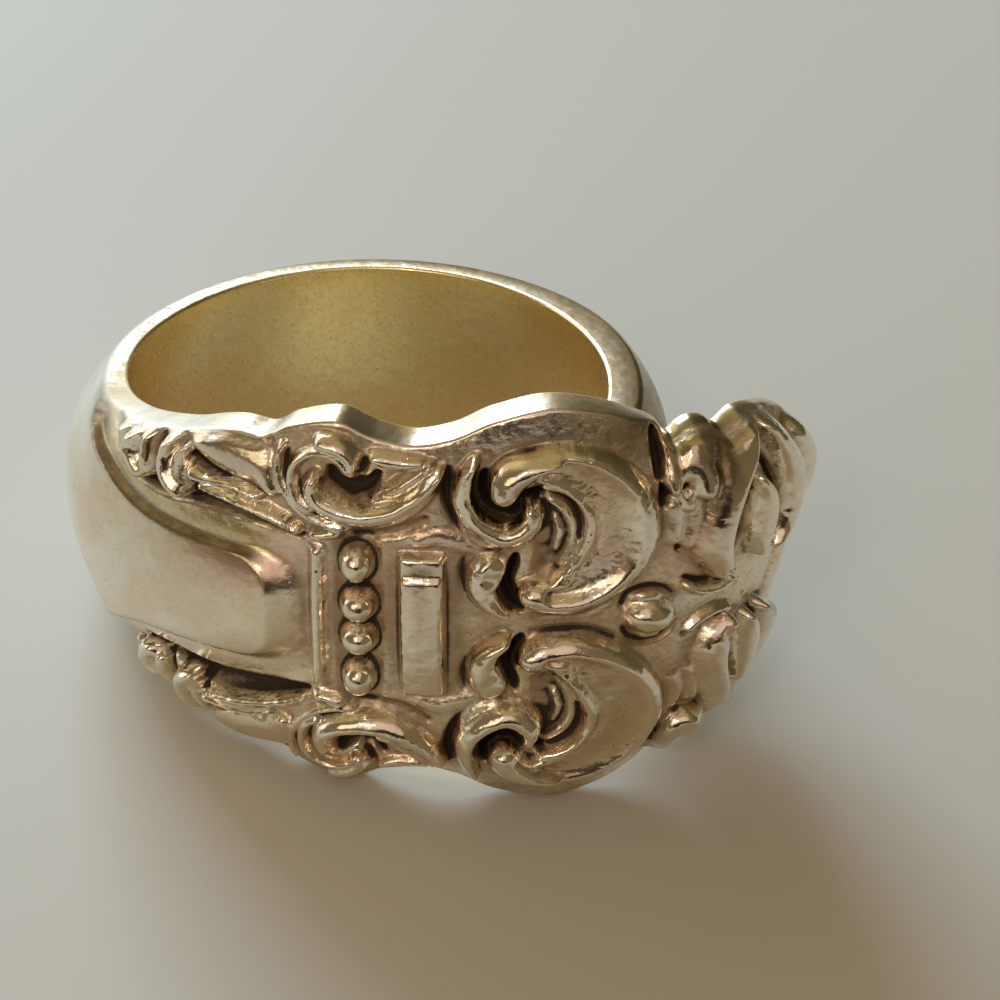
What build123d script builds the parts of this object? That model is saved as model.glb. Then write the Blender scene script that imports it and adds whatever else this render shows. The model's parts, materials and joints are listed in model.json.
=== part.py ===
from build123d import *
from collections import namedtuple
from itertools import combinations
import math
import os

# Named sizes in mm, and angles in degrees
finger_hole_d = 18.0
tail_turn = 128.0
plate_turn = 111.4
plate_length = 30.75
plate_half_width = 8.28
band_half_width = 3.85
rim_thickness = 0.8
band_crown = 2.6
ground_crown = 1.85
panel_half_width = 2.87
tip_lean = 16.0

# Rows and columns of facets
rows_on_band = 38
rows_on_plate = 97
columns = 50

finger_hole_r = finger_hole_d / 2
bore_stock = 0.12 * rim_thickness
tail_length = math.radians(tail_turn) * finger_hole_r
plate_start = math.radians(plate_turn) * finger_hole_r
plate_end = plate_start + plate_length

# The plate leaves the finger circle on flatter bends.
# radius is a share of the finger hole's radius, until of the plate's length.
Bend = namedtuple("Bend", "radius until")
bends = [
    Bend(radius=1.0, until=0.179),
    Bend(radius=1.431, until=0.358),
    Bend(radius=2.807, until=1.3),
]

# The tip rolls back round an axis that leans by tip_lean
tip_roll_radius = 0.948 * finger_hole_r
tip_roll_start = plate_start + 0.623 * plate_length

# Plain band by the turn round the finger, zero at the back.
# turn is a share of tail_turn below zero and of plate_turn above it,
# width of band_half_width, crown of band_crown.
BandStation = namedtuple("BandStation", "turn width crown")
band_stations = [
    BandStation(turn=-1.0, width=0.80, crown=0.70),
    BandStation(turn=-0.55, width=0.93, crown=0.82),
    BandStation(turn=0.0, width=1.0, crown=0.88),
    BandStation(turn=0.46, width=1.01, crown=0.96),
    BandStation(turn=0.74, width=1.06, crown=1.0),
]

# Scalloped outline of the plate.
# along is a share of plate_length, width of plate_half_width.
PlateStation = namedtuple("PlateStation", "along width")
plate_stations = [
    PlateStation(along=-0.054, width=0.525),
    PlateStation(along=0.048, width=0.598),
    PlateStation(along=0.144, width=0.700),
    PlateStation(along=0.233, width=0.799),
    PlateStation(along=0.254, width=0.795),
    PlateStation(along=0.290, width=0.870),
    PlateStation(along=0.339, width=0.918),
    PlateStation(along=0.381, width=0.856),
    PlateStation(along=0.420, width=0.829),
    PlateStation(along=0.461, width=0.861),
    PlateStation(along=0.508, width=0.945),
    PlateStation(along=0.568, width=0.995),
    PlateStation(along=0.628, width=0.946),
    PlateStation(along=0.676, width=0.767),
    PlateStation(along=0.703, width=0.823),
    PlateStation(along=0.733, width=0.753),
    PlateStation(along=0.777, width=0.804),
    PlateStation(along=0.836, width=0.755),
    PlateStation(along=0.906, width=0.602),
    PlateStation(along=0.963, width=0.386),
    PlateStation(along=1.000, width=0.173),
]

# The panel goes on from the band to the cross bar between sunk borders.
# along is a share of plate_length, width of panel_half_width. A higher power
# gives a flatter top and steeper flanks, to the panel and to the plate's ground.
PanelStation = namedtuple("PanelStation", "along width power")
panel_stations = [
    PanelStation(along=-0.054, width=1.5, power=2.4),
    PanelStation(along=0.039, width=1.22, power=2.9),
    PanelStation(along=0.179, width=1.03, power=4.2),
    PanelStation(along=0.307, width=0.87, power=5.5),
]

# Raised strokes of the upper half, mirrored on the lower half. Each follows an
# elliptical arc. along, reach_along: its centre and radius as shares of
# plate_length. across, reach_across, wide_*: shares of plate_half_width.
# start, end: angles in degrees. flare_*: growth of the radii at each end.
# high: a share of band_crown.
Stroke = namedtuple(
    "Stroke",
    "name along across reach_along reach_across start end flare_start flare_end"
    " wide_start wide_middle wide_end high",
)
strokes = [
    Stroke("first_rib", 0.091, 0.550, 0.020, 0.085, 150, 235, 0, 0, 0.034, 0.042, 0.030, 0.18),
    Stroke("second_rib", 0.125, 0.574, 0.029, 0.127, 150, 245, 0, 0, 0.041, 0.051, 0.046, 0.26),
    Stroke("third_rib", 0.182, 0.598, 0.029, 0.139, 145, 245, 0, 0, 0.041, 0.052, 0.046, 0.27),
    Stroke("leaf_body", 0.218, 0.556, 0.055, 0.157, 125, 20, 0, 0, 0.060, 0.103, 0.051, 0.16),
    Stroke("leaf_rib", 0.198, 0.350, 0.120, 0.181, 95, 25, 0, 0, 0.031, 0.031, 0.027, 0.20),
    Stroke("small_scroll", 0.371, 0.713, 0.054, 0.193, 195, 362, 0, 0.4, 0.046, 0.063, 0.041, 0.28),
    Stroke("small_scroll_rim", 0.329, 0.652, 0.031, 0.139, 55, 245, 0, 0, 0.030, 0.034, 0.027, 0.20),
    Stroke("crescent", 0.514, 0.628, 0.039, 0.181, 150, 335, 0, 0, 0.041, 0.068, 0.056, 0.29),
    Stroke("bud", 0.529, 0.223, 0.035, 0.145, 140, 255, 0, 0, 0.051, 0.056, 0.030, 0.26),
    Stroke("scroll_body", 0.576, 0.465, 0.065, 0.302, 150, -125, 0.1, 0, 0.060, 0.127, 0.072, 0.16),
    Stroke("large_scroll", 0.584, 0.471, 0.076, 0.338, 150, -130, 0.22, 0.1, 0.066, 0.043, 0.060, 0.30),
    Stroke("shell_ridge", 0.564, 0.447, 0.044, 0.236, 95, -80, 0, 0, 0.030, 0.036, 0.030, 0.23),
    Stroke("tip_lobe", 0.829, 0.326, 0.099, 0.556, 118, 202, 0, 0, 0.091, 0.068, 0.051, 0.30),
    Stroke("tip_leaf", 0.761, 0.374, 0.033, 0.205, 65, -65, 0, 0, 0.031, 0.056, 0.031, 0.27),
    Stroke("tip_back", 0.784, 0.447, 0.055, 0.314, 60, -58, 0, 0, 0.051, 0.065, 0.046, 0.32),
    Stroke("end_lobe", 0.842, 0.242, 0.078, 0.386, 65, -10, 0, 0, 0.060, 0.091, 0.080, 0.27),
]
steps_of_stroke = 18
# The foot of a stroke runs out softly over this many of its half-widths
foot_of_stroke = 1.25
# The relief is averaged over this reach, a share of plate_half_width, to suit the facets
softening = 0.024

# Round beads. along is a share of plate_length, across and the radii of
# plate_half_width, high of band_crown. Those off the centreline are mirrored.
Bead = namedtuple("Bead", "name along across radius_along radius_across high")
beads = [
    Bead("leaf_head", 0.189, 0.574, 0.046, 0.043, 0.20),
    Bead("inner_bead", 0.364, 0.082, 0.075, 0.080, 0.33),
    Bead("outer_bead", 0.363, 0.285, 0.070, 0.089, 0.33),
    Bead("small_lobe", 0.345, 0.815, 0.066, 0.066, 0.22),
    Bead("centre_bead", 0.668, 0.000, 0.094, 0.085, 0.29),
    Bead("edge_knob", 0.707, 0.761, 0.109, 0.139, 0.27),
    Bead("tip_bead", 0.946, 0.000, 0.101, 0.109, 0.20),
]

# Flat-topped bars across the handle. along and half_length are shares of
# plate_length, half_height of plate_half_width, high of band_crown.
Bar = namedtuple("Bar", "name along half_length half_height high")
bars = [
    Bar("cross_bar", along=0.320, half_length=0.0090, half_height=0.34, high=0.19),
    Bar("rectangular_bar", along=0.431, half_length=0.0236, half_height=0.33, high=0.29),
]


def ease(value):
    """Smooth step from 0 to 1."""
    value = min(1.0, max(0.0, value))
    return value * value * (3.0 - 2.0 * value)


def smooth_curve(pairs):
    """Cubic curve through (position, value) pairs that adds no bumps."""
    xs = [x for x, _ in pairs]
    ys = [y for _, y in pairs]
    slopes = [(ys[i + 1] - ys[i]) / (xs[i + 1] - xs[i]) for i in range(len(xs) - 1)]
    tangents = [slopes[0]]
    for before, after in zip(slopes, slopes[1:]):
        level = before * after <= 0
        tangents.append(0.0 if level else 2 * before * after / (before + after))
    tangents.append(slopes[-1])

    def curve(x):
        x = min(max(x, xs[0]), xs[-1])
        i = max(k for k in range(len(xs) - 1) if xs[k] <= x)
        step = xs[i + 1] - xs[i]
        t = (x - xs[i]) / step
        from_left = (1 - t) ** 2 * ((1 + 2 * t) * ys[i] + t * step * tangents[i])
        from_right = t**2 * ((3 - 2 * t) * ys[i + 1] - (1 - t) * step * tangents[i + 1])
        return from_left + from_right

    return curve


def on_band(turn):
    """Distance along the handle of a band station."""
    return turn * (tail_length if turn < 0 else plate_start)


def on_plate(along):
    """Distance along the handle of a share of the plate."""
    return plate_start + along * plate_length


half_width = smooth_curve(
    [(on_band(b.turn), b.width * band_half_width) for b in band_stations]
    + [(on_plate(p.along), p.width * plate_half_width) for p in plate_stations]
)
crown = smooth_curve([(on_band(b.turn), b.crown * band_crown) for b in band_stations])
panel_width = smooth_curve(
    [(on_plate(p.along), p.width * panel_half_width) for p in panel_stations]
)
panel_power = smooth_curve([(on_plate(p.along), p.power) for p in panel_stations])


def bend_path(distance):
    """Point and heading of the inner wall in plan, from the back of the finger hole."""
    x, y, heading, done = 0.0, finger_hole_r, math.pi, 0.0
    for bend in bends:
        radius = bend.radius * finger_hole_r
        stop = min(distance, on_plate(bend.until))
        turn = (stop - done) / radius
        x += radius * (math.sin(heading + turn) - math.sin(heading))
        y -= radius * (math.cos(heading + turn) - math.cos(heading))
        heading += turn
        done = stop
        if distance <= on_plate(bend.until):
            break
    return x, y, heading


def place(distance, across, height):
    """Point of the bent handle at a distance along it, across it and above its inner wall."""
    x, y, heading = bend_path(distance)
    forward = Vector(math.cos(heading), math.sin(heading), 0)
    outward = Vector(math.sin(heading), -math.cos(heading), 0)
    lean = math.radians(tip_lean)
    rolled = (distance - tip_roll_start) * math.cos(lean) - across * math.sin(lean)
    rolled = max(0.0, rolled)
    angle = rolled / tip_roll_radius
    roll_way = forward * math.cos(lean) - Vector(0, 0, 1) * math.sin(lean)
    point = Vector(x, y, across)
    point += roll_way * (tip_roll_radius * math.sin(angle) - rolled)
    point -= outward * (tip_roll_radius * (1 - math.cos(angle)))
    normal = outward * math.cos(angle) + roll_way * math.sin(angle)
    return point + normal * height


def stroke_points(stroke):
    """Points (distance, across, half-width) along a stroke."""
    points = []
    for i in range(steps_of_stroke + 1):
        t = i / steps_of_stroke
        angle = math.radians(stroke.start + (stroke.end - stroke.start) * t)
        growth = 1 + stroke.flare_start * max(0, 1 - 2 * t) ** 2
        growth += stroke.flare_end * max(0, 2 * t - 1) ** 2
        end_width = stroke.wide_start if t < 0.5 else stroke.wide_end
        width = end_width + (stroke.wide_middle - end_width) * (1 - abs(2 * t - 1))
        points.append(
            (
                on_plate(stroke.along + stroke.reach_along * growth * math.cos(angle)),
                (stroke.across + stroke.reach_across * growth * math.sin(angle)) * plate_half_width,
                width * plate_half_width,
            )
        )
    return points


def stroke_rise(points, distance, across):
    """Share of a stroke's height at a point, rounded over its width."""
    nearest = 1.0
    for (x0, z0, w0), (x1, z1, w1) in zip(points, points[1:]):
        dx, dz = x1 - x0, z1 - z0
        t = ((distance - x0) * dx + (across - z0) * dz) / (dx * dx + dz * dz)
        t = min(1.0, max(0.0, t))
        gap = math.hypot(distance - x0 - t * dx, across - z0 - t * dz)
        nearest = min(nearest, gap / (w0 + (w1 - w0) * t) / foot_of_stroke)
    return (1 - nearest**2) ** 1.5


def bead_rise(bead, distance, across):
    """Share of a bead's height at a point."""
    dx = (distance - on_plate(bead.along)) / (bead.radius_along * plate_half_width)
    dz = across / plate_half_width - bead.across
    gap = dx**2 + (dz / bead.radius_across) ** 2
    return max(0.0, 1 - gap)


def bar_rise(bar, distance, across):
    """Share of a bar's height at a point, with steep sides."""
    side = plate_half_width * 0.035
    ends = bar.half_height * plate_half_width - abs(across)
    flanks = bar.half_length * plate_length - abs(distance - on_plate(bar.along))
    return ease(0.5 + ends / side) * ease(0.5 + flanks / side)


placed_strokes = [(s, stroke_points(s)) for s in strokes]


def relief(distance, across):
    """Height of the raised ornament over its ground."""
    if distance < plate_start - 0.03 * plate_length:
        return 0.0
    upper = abs(across)
    rise = 0.0
    for stroke, points in placed_strokes:
        reach = stroke.wide_middle * plate_half_width + stroke.reach_along * plate_length * 1.3
        if abs(distance - on_plate(stroke.along)) < reach:
            rise = max(rise, stroke.high * stroke_rise(points, distance, upper))
    for bead in beads:
        rise = max(rise, bead.high * bead_rise(bead, distance, upper))
    for bar in bars:
        rise = max(rise, bar.high * bar_rise(bar, distance, across))
    return rise * band_crown


def soft_relief(distance, across):
    """Relief averaged over a point and its eight neighbours."""
    reach = softening * plate_half_width
    total = 0.0
    for i in (-1, 0, 1):
        for k in (-1, 0, 1):
            weight = (2 - abs(i)) * (2 - abs(k))
            total += weight * relief(distance + i * reach, across + k * reach)
    return total / 16


def dome(share, low, high, power=panel_stations[0].power):
    """Rounded cross-section: low at the edges, high in the middle."""
    return low + (high - low) * (1 - min(1.0, abs(share)) ** power)


def thickness(distance, share):
    """Thickness of the handle at a share of its half-width."""
    width = half_width(distance)
    across = share * width
    if distance < on_plate(panel_stations[0].along):
        return dome(share, rim_thickness, crown(distance))
    ground = dome(share, rim_thickness, ground_crown, panel_power(distance))
    near_edge = ease((1 - abs(share)) * width / rim_thickness)
    ground += soft_relief(distance, across) * near_edge
    power = panel_power(distance)
    panel = dome(across / panel_width(distance), rim_thickness, band_crown, power)
    before_bar = ease((on_plate(panel_stations[-1].along) - distance) / rim_thickness)
    return max(ground, rim_thickness + (panel - rim_thickness) * before_bar)


def spread(count, start, stop):
    """Evenly spaced values from start to stop."""
    return [start + (stop - start) * i / (count - 1) for i in range(count)]


def facets(corners):
    """Triangles of a grid of (point, height), each square cut between its evener corners."""
    triangles = []
    for near, far in zip(corners, corners[1:]):
        for (a, b), (d, c) in zip(zip(near, near[1:]), zip(far, far[1:])):
            if abs(a[1] - c[1]) <= abs(b[1] - d[1]):
                triangles += [(a[0], b[0], c[0]), (a[0], c[0], d[0])]
            else:
                triangles += [(a[0], b[0], d[0]), (b[0], c[0], d[0])]
    return triangles


def skin_grid(distances, shares, height_of):
    """Grid of (point, height) over the handle, a row for each distance."""
    grid = []
    for d in distances:
        heights = [height_of(d, v) for v in shares]
        grid.append([(place(d, v * half_width(d), h), h) for v, h in zip(shares, heights)])
    return grid


def end_cap(outer_row, inner_row):
    """Triangles between the outer and inner skins at one end of the handle."""
    outer = [point for point, _ in outer_row]
    inner = [point for point, _ in inner_row]
    triangles = []
    i = k = 0
    while i < len(outer) - 1 or k < len(inner) - 1:
        if k == len(inner) - 1 or i / (len(outer) - 1) <= k / (len(inner) - 1):
            triangles.append((outer[i], outer[i + 1], inner[k]))
            i += 1
        else:
            triangles.append((outer[i], inner[k + 1], inner[k]))
            k += 1
    return triangles


def inner_height(distance, share):
    """Height of the inner skin: 0, or below it where the finger hole is cut afterwards."""
    return -bore_stock if distance < on_plate(bends[0].until) else 0.0


def closed_solid(outer, inner):
    """Solid between two skins, closed along both edges and at both ends."""
    triangles = facets(outer) + facets(inner)
    for side in (0, -1):
        triangles += facets([[row[side] for row in outer], [row[side] for row in inner]])
    for end in (0, -1):
        triangles += end_cap(outer[end], inner[end])
    return Solid(Shell([Face(Wire.make_polygon(points)) for points in triangles]))


def resting_plane(points, centre):
    """Plane under the points that carries their centre of mass."""
    touching = set()
    for tilt in spread(10, 0, 45):
        for way in spread(49, 0, 360):
            down = Vector(0, 0, -1).rotate(Axis.X, tilt).rotate(Axis.Z, way)
            touching.add(max(range(len(points)), key=lambda i: points[i].dot(down)))
    for a, b, c in combinations([points[i] for i in touching], 3):
        normal = (b - a).cross(c - a)
        if normal.length < 1e-6:
            continue
        normal = normal.normalized() * math.copysign(1, normal.Z)
        below = min((p - a).dot(normal) for p in points)
        foot = centre - normal * (centre - a).dot(normal)
        sides = [(q - p).cross(foot - p).dot(normal) for p, q in ((a, b), (b, c), (c, a))]
        if below > -1e-6 and (min(sides) >= 0 or max(sides) <= 0):
            return Plane(origin=a, x_dir=Vector(1, 0, 0), z_dir=normal)


band_rows = spread(rows_on_band, -tail_length, on_plate(-0.06))
plate_rows = spread(rows_on_plate, on_plate(-0.05), plate_end)
distances = band_rows + plate_rows
shares = [0.6 * v + 0.4 * math.sin(v * math.pi / 2) for v in spread(columns, -1, 1)]

rough = closed_solid(
    skin_grid(distances, shares, thickness),
    skin_grid(distances, spread(3, -1, 1), inner_height),
)
upright = (rough - Cylinder(finger_hole_r, 4 * band_half_width)).solid()

# The ring lies on its side, on the lower edges of the plate and the band
lower_edge = [place(d, -half_width(d), h) for d in distances[::3] for h in (0, rim_thickness)]
floor = resting_plane(lower_edge, upright.center(CenterOf.MASS))
lying = floor.to_local_coords(upright)
box = lying.bounding_box()
to_origin = Vector(-box.center().X, -box.center().Y, -box.min.Z)
spoon_ring = lying.moved(Location(to_origin))

os.makedirs("parts", exist_ok=True)
export_step(spoon_ring, "parts/spoon_ring.step", write_pcurves=False)

hole_centre = floor.to_local_coords(Vector(0, 0, 0)) + to_origin
hole_axis = floor.to_local_coords(Vector(0, 0, 1)) - floor.to_local_coords(Vector(0, 0, 0))
print("volume mm3", round(spoon_ring.volume, 2), "valid", spoon_ring.is_valid)
print("size mm", [round(v, 3) for v in spoon_ring.bounding_box().size])
print("finger hole centre mm", [round(v, 4) for v in hole_centre])
print("finger hole axis", [round(v, 6) for v in hole_axis])
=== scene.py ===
import json
import math

import bpy
import numpy as np
from mathutils import Matrix, Vector


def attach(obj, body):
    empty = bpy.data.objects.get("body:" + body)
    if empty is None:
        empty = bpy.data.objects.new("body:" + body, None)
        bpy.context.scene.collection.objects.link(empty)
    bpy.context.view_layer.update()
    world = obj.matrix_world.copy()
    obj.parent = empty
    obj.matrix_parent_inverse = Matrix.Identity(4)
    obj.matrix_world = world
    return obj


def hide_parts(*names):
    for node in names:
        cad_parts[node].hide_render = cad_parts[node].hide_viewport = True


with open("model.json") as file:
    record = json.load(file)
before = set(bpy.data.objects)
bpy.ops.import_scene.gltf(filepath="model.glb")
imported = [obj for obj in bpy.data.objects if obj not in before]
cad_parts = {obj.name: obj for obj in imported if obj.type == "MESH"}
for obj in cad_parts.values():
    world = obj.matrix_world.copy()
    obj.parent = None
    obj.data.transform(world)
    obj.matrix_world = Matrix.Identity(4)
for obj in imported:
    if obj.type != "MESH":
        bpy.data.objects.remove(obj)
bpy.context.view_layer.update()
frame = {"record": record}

mm = 0.001

# the ring's own frame: origin in the middle of the finger hole, Z along the hole
fingerHole = frame["record"]["mounts"][0]
holeAxis = Vector(fingerHole["axis"]).normalized()
holeSide = Vector((holeAxis.z, 0, -holeAxis.x)).normalized()
ringFrame = Matrix((holeSide, holeAxis.cross(holeSide), holeAxis)).transposed().to_4x4()
ringFrame.translation = Vector(fingerHole["pos_m"])


# how the handle runs: mm along it from the back of the finger hole, mm across it
handle = {
    "holeRadius": 9.0,
    "tailEnd": -20.106,
    "plateStart": 17.498,
    "plateEnd": 48.248,
    "plateHalf": 8.28,
    "bandHalf": 3.85,
    "rim": 0.8,
    "bandCrown": 2.6,
    "groundCrown": 1.85,
    "bends": [(9.0, 23.002), (12.879, 28.507), (25.263, 90.0)],  # radius, until
    "roll": {"start": 36.655, "radius": 8.532, "lean": 16.0},
    "edgeRound": 0.16,
    # the upper rim is thicker at the tail and the plate: along, height
    "upperRim": [
        (-20.1, 1.3), (-10.0, 1.25), (-5.0, 0.95), (0.0, 0.8), (14.0, 0.8), (19.0, 1.15),
        (23.0, 1.4), (33.0, 1.45), (37.4, 1.2), (39.0, 0.55), (41.0, 0.5), (48.3, 0.8),
    ],
    "domePower": {"band": 2.4, "plate": 4.6},
    # along, half width, crown
    "band": [(-20.106, 0.80, 0.88), (-11.06, 0.93, 0.95), (0, 1, 0.89), (8.05, 1.01, 0.96), (12.95, 1.06, 1.0)],
    # along and half width as shares of the plate
    "plate": [
        (-0.054, 0.525), (0.048, 0.598), (0.144, 0.700), (0.233, 0.799), (0.254, 0.795), (0.290, 0.870),
        (0.339, 0.918), (0.381, 0.856), (0.420, 0.829), (0.461, 0.861), (0.508, 0.945), (0.568, 0.995),
        (0.628, 0.952), (0.662, 0.900), (0.688, 0.845), (0.704, 0.775), (0.716, 0.812), (0.730, 0.828),
        (0.746, 0.816), (0.762, 0.762), (0.790, 0.806), (0.840, 0.755), (0.906, 0.602), (0.963, 0.386),
        (1.000, 0.173),
    ],
    "rowStep": {"band": 0.42, "plate": 0.08, "closeAfter": 0.4},
    "columns": 172, "innerColumns": 12, "arcPoints": 5,
    "evenShare": 0.8,  # the rest of the columns' spacing crowds towards the rims
    "rimProbe": 0.015,
}


def ease(value):
    value = np.clip(value, 0, 1)
    return value * value * (3 - 2 * value)


def fade(value, begin, full):  # 0 at begin, 1 at full, also where full is the lower
    return ease((value - begin) / (full - begin))


def smoothCurve(pairs):  # cubic through the pairs that adds no bumps
    xs, ys = np.array(pairs, float).T
    slopes = np.diff(ys) / np.diff(xs)
    product = slopes[:-1] * slopes[1:]
    total = np.where(product > 0, slopes[:-1] + slopes[1:], 1)
    tangents = np.concatenate([slopes[:1], np.where(product > 0, 2 * product / total, 0), slopes[-1:]])

    def curve(x):
        x = np.clip(x, xs[0], xs[-1])
        i = np.clip(np.searchsorted(xs, x, "right") - 1, 0, len(xs) - 2)
        step = xs[i + 1] - xs[i]
        t = (x - xs[i]) / step
        fromLeft = (1 - t) ** 2 * ((1 + 2 * t) * ys[i] + t * step * tangents[i])
        fromRight = t**2 * ((3 - 2 * t) * ys[i + 1] - (1 - t) * step * tangents[i + 1])
        return fromLeft + fromRight

    return curve


plateLength = handle["plateEnd"] - handle["plateStart"]
halfWidth = smoothCurve(
    [(along, width * handle["bandHalf"]) for along, width, _ in handle["band"]]
    + [(handle["plateStart"] + a * plateLength, w * handle["plateHalf"]) for a, w in handle["plate"]]
)
upperRim = smoothCurve(handle["upperRim"])
bandCrown = smoothCurve([(along, crown * handle["bandCrown"]) for along, _, crown in handle["band"]])


def place(along, across, height):  # flat strip to the bent ring, all in mm
    x, y = np.zeros_like(along), np.full_like(along, handle["holeRadius"])
    heading, done = np.full_like(along, math.pi), 0.0
    for radius, until in handle["bends"]:
        turn = (np.minimum(along, until) - done) / radius
        turn = turn if done == 0 else np.maximum(turn, 0)
        x = x + radius * (np.sin(heading + turn) - np.sin(heading))
        y = y - radius * (np.cos(heading + turn) - np.cos(heading))
        heading = heading + turn
        done = until
    lean, radius = math.radians(handle["roll"]["lean"]), handle["roll"]["radius"]
    rolled = (along - handle["roll"]["start"]) * math.cos(lean) - across * math.sin(lean)
    rolled = np.maximum(rolled, 0)
    angle = rolled / radius
    zero = np.zeros_like(along)
    outward = np.stack([np.sin(heading), -np.cos(heading), zero], -1)
    forward = np.stack([np.cos(heading), np.sin(heading), zero], -1)
    rollWay = forward * math.cos(lean) - [0, 0, math.sin(lean)]
    point = np.stack([x, y, across + zero], -1)
    point = point + rollWay * (radius * np.sin(angle) - rolled)[..., None]
    point = point - outward * (radius * (1 - np.cos(angle)))[..., None]
    normal = outward * np.cos(angle)[..., None] + rollWay * np.sin(angle)[..., None]
    return point + normal * height[..., None]


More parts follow.
